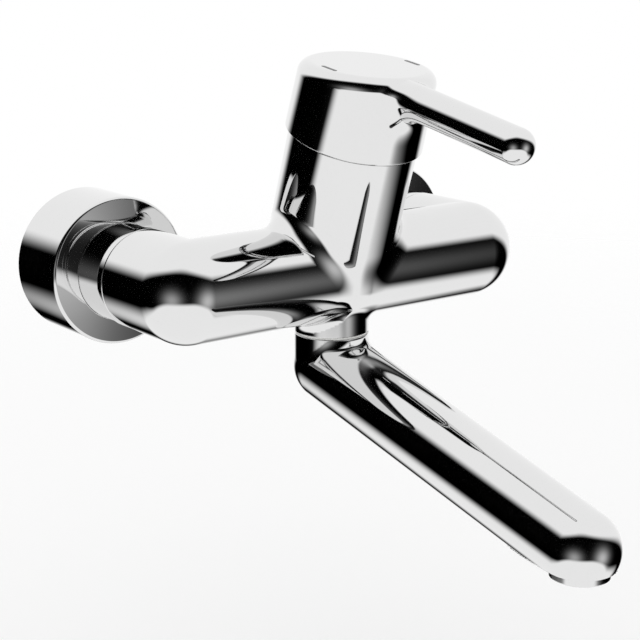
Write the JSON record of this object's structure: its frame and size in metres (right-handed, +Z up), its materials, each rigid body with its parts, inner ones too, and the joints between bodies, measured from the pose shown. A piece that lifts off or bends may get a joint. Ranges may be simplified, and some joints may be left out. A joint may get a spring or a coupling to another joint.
{
  "type": "wall mounted single lever mixer tap",
  "caption": "Chromed wall-mounted single-lever mixer tap with deep wall roses, a forward-leaning cartridge tower with rod lever, and a swivel spout underneath.",
  "frame": {"origin": "midway between the two wall inlets, on the wall plane", "axes": "+X to the right facing the wall, +Y into the wall along the wall threads, +Z up; the spout and lever point to -Y"},
  "size_m": [0.214, 0.2667, 0.1831],
  "materials": {
    "chrome": "polished chrome plating",
    "brass": "turned brass",
    "steel": "stainless steel",
    "ceramic": "lapped alumina",
    "white_plastic": "moulded acetal",
    "dark_plastic": "moulded glass-filled nylon",
    "grey_plastic": "grey plug",
    "mark_inlay": "dark inlay",
    "rubber": "EPDM"
  },
  "bodies": {
    "mixer": {"mixer_body": "chrome", "rose_hot": "chrome", "rose_cold": "chrome", "s_union_hot": "brass", "s_union_cold": "brass", "union_nut_hot": "brass", "union_nut_cold": "brass", "union_washer_hot": "rubber", "union_washer_cold": "rubber", "strainer_hot": "steel", "strainer_cold": "steel", "inlet_nipple_hot": "brass", "inlet_nipple_cold": "brass", "nut_sleeve_hot": "chrome", "nut_sleeve_cold": "chrome", "trim_ring_hot": "chrome", "trim_ring_cold": "chrome", "cartridge_base": "dark_plastic", "cartridge_seals": "rubber", "fixed_disc": "ceramic", "cartridge_shell": "white_plastic", "cartridge_nut": "brass", "stop_ring": "dark_plastic", "dome_cover": "chrome", "neck_screw": "steel"},
    "rotor": {"cartridge_rotor": "dark_plastic", "pivot_pin": "steel"},
    "disc": {"moving_disc": "ceramic", "disc_carrier": "white_plastic"},
    "lever": {"lever_handle": "chrome", "lever_stem": "brass", "grub_screw": "steel", "grub_plug": "grey_plastic", "hot_mark": "mark_inlay", "cold_mark": "mark_inlay"},
    "spout": {"spout": "chrome", "spout_spigot": "brass", "spout_o_rings": "rubber", "slide_ring": "white_plastic", "aerator_housing": "chrome", "aerator_insert": "white_plastic", "aerator_washer": "rubber"}
  },
  "joints": [
    {"name": "lever_turn", "type": "hinge", "parent": "mixer", "child": "rotor", "pos_m": [0, -0.079, 0.008], "axis": [0, -0.3181, 0.948], "range_deg": [-45, 45]},
    {"name": "lever_lift", "type": "hinge", "parent": "rotor", "child": "lever", "pos_m": [0, -0.0957, 0.05777], "axis": [-1, 0, 0], "range_deg": [0, 25]},
    {"name": "disc_slide", "type": "slide", "parent": "rotor", "child": "disc", "axis": [0, -0.948, -0.3181], "range_m": [0, 0.006]},
    {"name": "spout_swivel", "type": "hinge", "parent": "mixer", "child": "spout", "pos_m": [0, -0.0838, 0], "axis": [0, 0, 1], "range_deg": [-80, 80]}
  ],
  "couplings": [
    {"joint": "disc_slide", "follows": "lever_lift", "m_per_rad": 0.0136}
  ]
}
